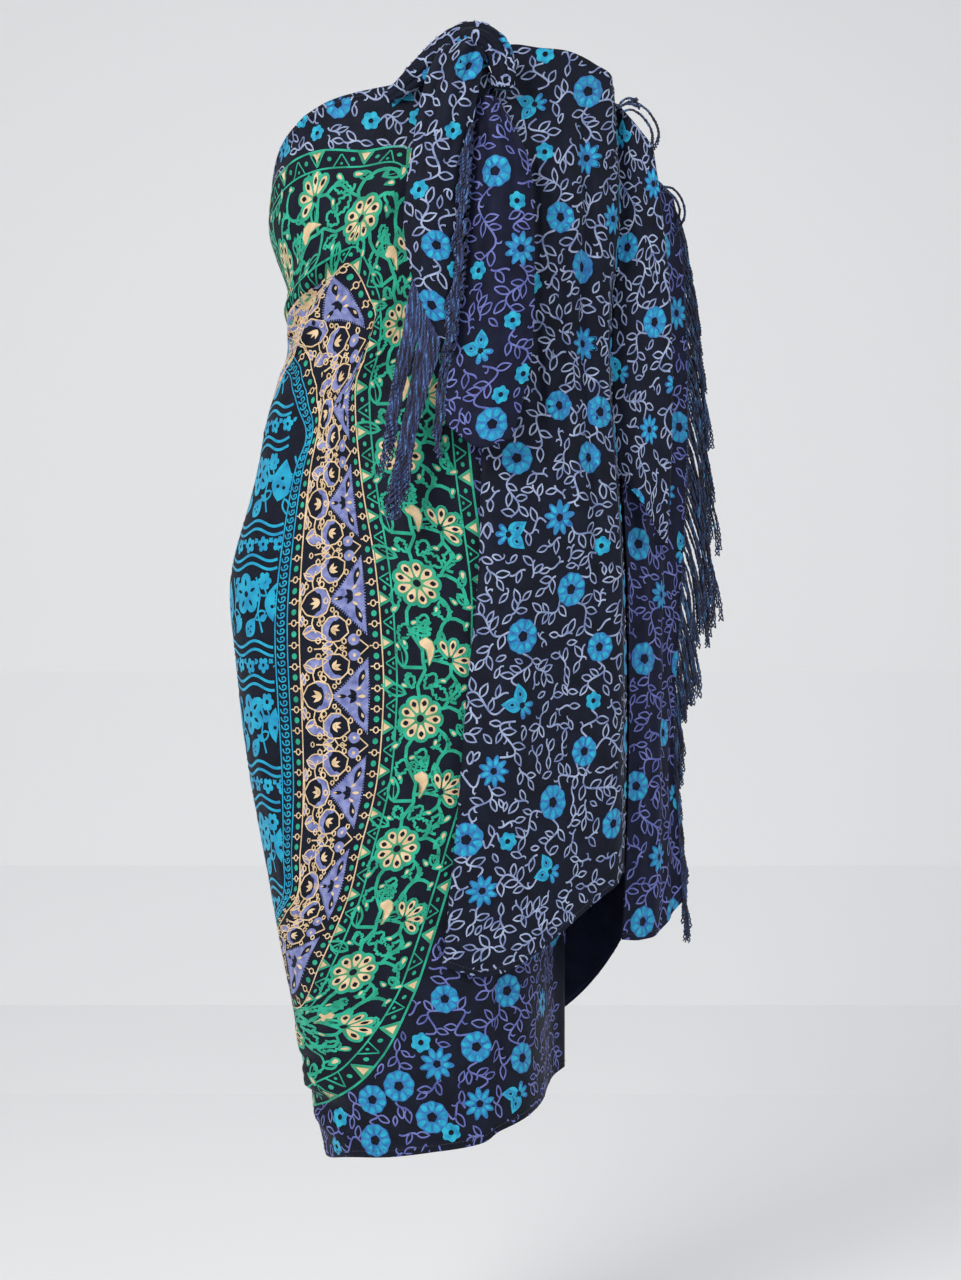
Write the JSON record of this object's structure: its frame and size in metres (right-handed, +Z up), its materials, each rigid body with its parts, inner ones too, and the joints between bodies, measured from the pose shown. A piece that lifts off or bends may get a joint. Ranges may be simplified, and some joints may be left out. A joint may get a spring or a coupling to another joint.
{
  "type": "sarong",
  "caption": "Printed sarong worn wound under the arms, knotted above the bust, with a front flap and a fringed loose end.",
  "frame": {"origin": "on the body's axis at the height of the top edge, where the wearer holds the wound cloth", "axes": "+Z up, +X to the viewer's right as seen from the front, the front faces -Y"},
  "size_m": [0.5241, 0.3133, 1.1353],
  "materials": {
    "cloth_wrap": "printed rayon, black ground with green, cream, lavender and blue",
    "cloth_flap": "printed rayon, black ground with blue flowers and pale vines",
    "cloth_reverse": "reverse of the print, darker and more violet",
    "cloth_knot": "printed rayon, gathered",
    "fringe_yarn": "twisted rayon yarn, dark blue and turquoise"
  },
  "bodies": {
    "root": {"wrap_front": "cloth_wrap", "wrap_inner": "cloth_wrap", "wrap_tucked": "cloth_wrap", "wrap_back": "cloth_wrap", "wrap_side": "cloth_wrap", "front_flap": "cloth_flap", "cascade_fold": "cloth_flap", "cascade_end": "cloth_reverse", "knot_strap": "cloth_knot", "knot_core": "cloth_knot", "knot_tail_face": "cloth_knot", "knot_tail_reverse": "cloth_reverse", "fringe_upper": "fringe_yarn", "fringe_lower": "fringe_yarn", "fringe_tail_face": "fringe_yarn", "fringe_tail_reverse": "fringe_yarn"}
  },
  "joints": []
}
